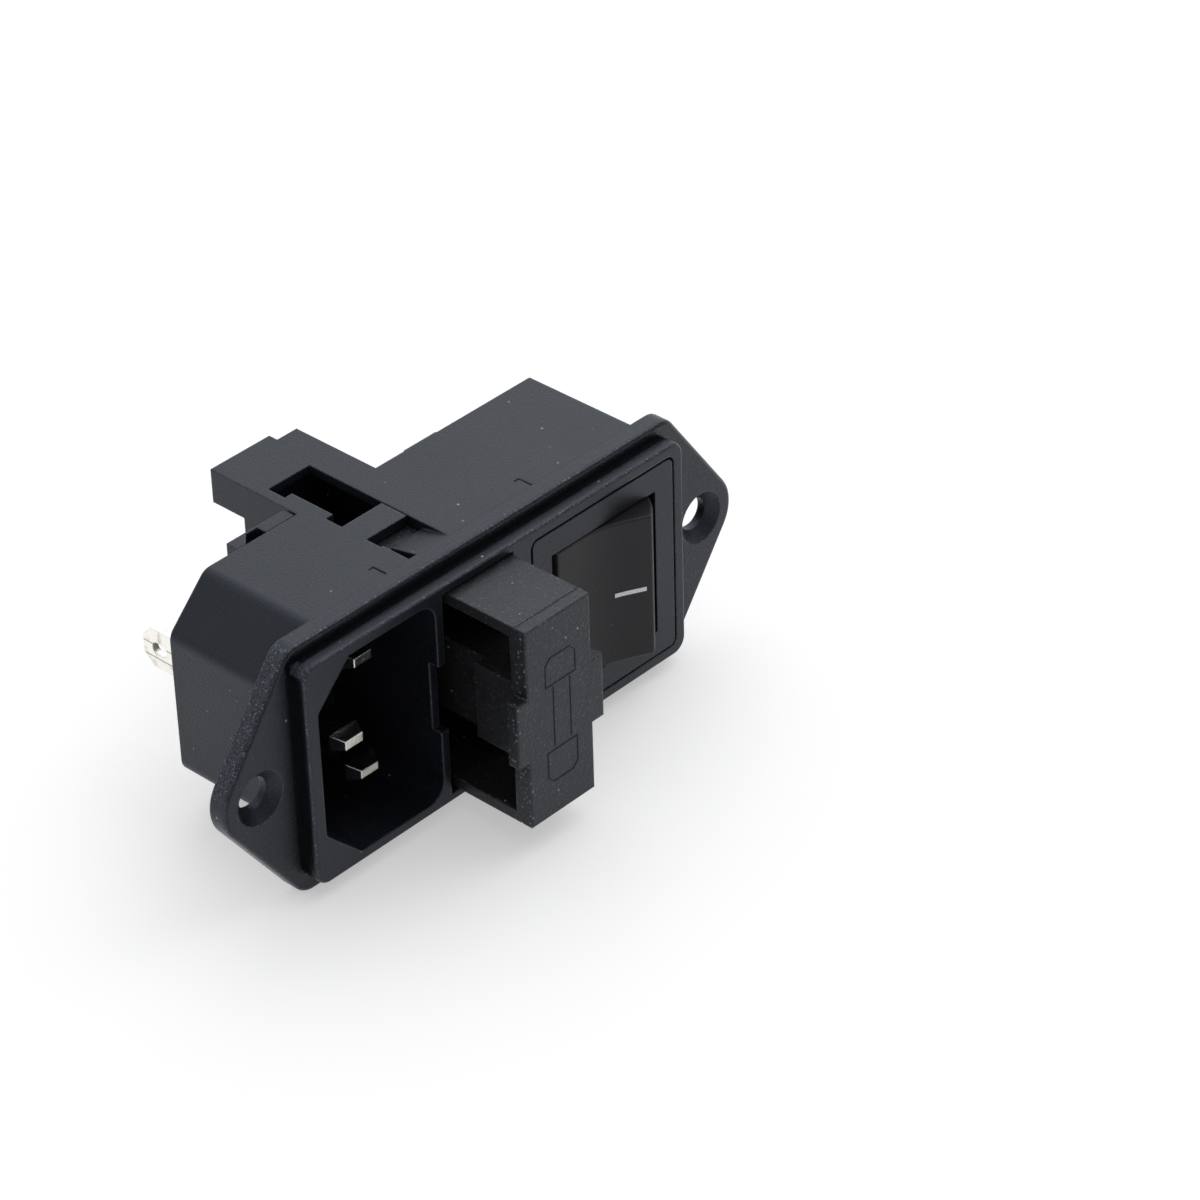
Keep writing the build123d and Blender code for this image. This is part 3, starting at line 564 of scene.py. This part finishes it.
press.use_project_y = True
press.use_positive_direction = True
press.use_negative_direction = False
press.target = nodes["rocker"]
press.offset = mark_lift
bpy.ops.object.modifier_apply(modifier="press")
film = on_mark.modifiers.new("film", "SOLIDIFY")
film.thickness = mark_lift
film.offset = 0
bpy.ops.object.modifier_apply(modifier="film")
ink = bpy.data.materials.new("pale_ink")
ink.use_nodes = True
tree = ink.node_tree
shader = tree.nodes["Principled BSDF"]
inputs = {"Vector": put(tree, "ShaderNodeTexCoord").outputs["Object"],
          "Scale": blotches_per_metre, "Detail": blotch_detail}
blotches = put(tree, "ShaderNodeTexNoise", inputs).outputs["Fac"]
inked = blend_colour(tree, ramp(tree, blotches, *thin_to_full), thin_ink, full_ink)
feed(tree, shader.inputs["Base Color"], inked)
feed(tree, shader.inputs["Roughness"], ramp(tree, blotches, *ink_dullness))
on_mark.data.materials.append(ink)
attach(on_mark, "rocker")
on_mark.select_set(False)

# Plungers: turned pins of natural acetal, which slide in two bores of the rocker
# and press on the seesaw contacts.
acetal = moulded(
    "natural_acetal", colour=(0.6, 0.58, 0.52), roughness=0.4, grain_per_metre=6500,
    bump=0.1, dust=0.1, edge_width=0.0001,
)[0]
cover(acetal, "upper_plunger", "lower_plunger")

# Plunger springs: coils of drawn steel wire in the rocker's bores, behind the
# plungers.
steel = plated("spring_steel", colour=(0.56, 0.56, 0.57), roughness=0.25, bump=0.2)[0]
cover(steel, "upper_plunger_spring", "lower_plunger_spring")

# Seesaw contacts: copper strip, stamped and bent, with a contact rivet at one end.
# Each tips on the cradle of its pivot terminal.
copper = plated("contact_copper", colour=(0.72, 0.48, 0.34), roughness=0.3, bump=0.4)[0]
cover(copper, "upper_seesaw", "lower_seesaw")

# Switch terminals: tinned brass strip, each stamped in one piece with its
# quick-connect tab and pressed into slots of the case.
tin = plated("tin_plate", colour=(0.82, 0.79, 0.72), roughness=0.3, bump=0.5)[0]
cover(tin, "upper_pivot_terminal", "lower_pivot_terminal", "upper_load_terminal", "lower_load_terminal")

# Floor: white sheet that the inlet rests on with the lower edge of its flange and
# with the lower rear edge of its body, so it leans with that line. It gives off a
# little light of its own to the camera and in reflections only, to look white.
floor_size = 6
floor_place = (0, -0.0017, -0.01515)
floor_lean = radians(2.84)
floor_white = (0.64, 0.64, 0.646, 1)
floor_glow = 0.42
bpy.ops.mesh.primitive_plane_add(size=floor_size, location=floor_place, rotation=(floor_lean, 0, 0))
floor = bpy.context.object
floor.name = "floor"
paper = bpy.data.materials.new("white_sheet")
paper.use_nodes = True
tree = paper.node_tree
shader = tree.nodes["Principled BSDF"]
shader.inputs["Base Color"].default_value = floor_white
shader.inputs["Roughness"].default_value = 0.9
shader.inputs["Specular IOR Level"].default_value = 0.1
shader.inputs["Emission Color"].default_value = (1, 1, 1, 1)
rays = put(tree, "ShaderNodeLightPath").outputs
seen = maths(tree, "MAXIMUM", rays["Is Camera Ray"], rays["Is Glossy Ray"])
seen = maths(tree, "MAXIMUM", seen, rays["Is Transmission Ray"])
feed(tree, shader.inputs["Emission Strength"], times(tree, seen, floor_glow))
floor.data.materials.append(paper)

# Light: a large soft box above and behind on the right, aimed at the inlet. It is
# the only lamp, and its size gives the soft edge of the shadow.
box_place = (0.70, 0.12, 1.05)
box_size = 1.7
box_energy = 10
box_colour = (0.97, 0.985, 1.0)
bpy.ops.object.light_add(type="AREA", location=box_place)
soft_box = bpy.context.object
soft_box.name = "overhead_softbox"
soft_box.data.shape = "SQUARE"
soft_box.data.size = box_size
soft_box.data.energy = box_energy
soft_box.data.color = box_colour
bpy.ops.object.empty_add(location=(0, 0, 0))
target = bpy.context.object
target.name = "aim_point"
aim = soft_box.constraints.new("TRACK_TO")
aim.target = target
aim.track_axis = "TRACK_NEGATIVE_Z"
aim.up_axis = "UP_Y"

# Room: pale walls on the side of the soft box and dimmer ones on the other side,
# which the black plastic mirrors. To the camera the room is plain white.
paler_side = (0.25, 0.69, 0.68)
dim_level, pale_level = 0.42, 0.95
dim_until, pale_from = 0.1, 0.95
world = bpy.data.worlds.new("studio")
bpy.context.scene.world = world
world.use_nodes = True
tree = world.node_tree
background = tree.nodes["Background"]
background.inputs["Color"].default_value = (1, 1, 1, 1)
direction = put(tree, "ShaderNodeTexCoord").outputs["Generated"]
side = vector_maths(tree, "DOT_PRODUCT", "Value", direction, paler_side)
inputs = {"Value": side, "From Min": dim_until, "From Max": pale_from,
          "To Min": dim_level, "To Max": pale_level}
room = put(tree, "ShaderNodeMapRange", inputs, interpolation_type="SMOOTHSTEP").outputs["Result"]
seen = put(tree, "ShaderNodeLightPath").outputs["Is Camera Ray"]
feed(tree, background.inputs["Strength"], blend_number(tree, seen, room, 1))

# Camera: a long lens at the front left, looking down on the inlet from about half
# a metre away.
bpy.ops.object.camera_add(
    location=(-0.267395, -0.271319, 0.269299),
    rotation=(radians(55.233), radians(1.3506), radians(-47.4884)),
)
camera = bpy.context.object
camera.data.lens = 135.05
camera.data.sensor_width = 36
camera.data.clip_start = 0.01
bpy.context.scene.camera = camera
bpy.context.scene.view_settings.view_transform = "Standard"
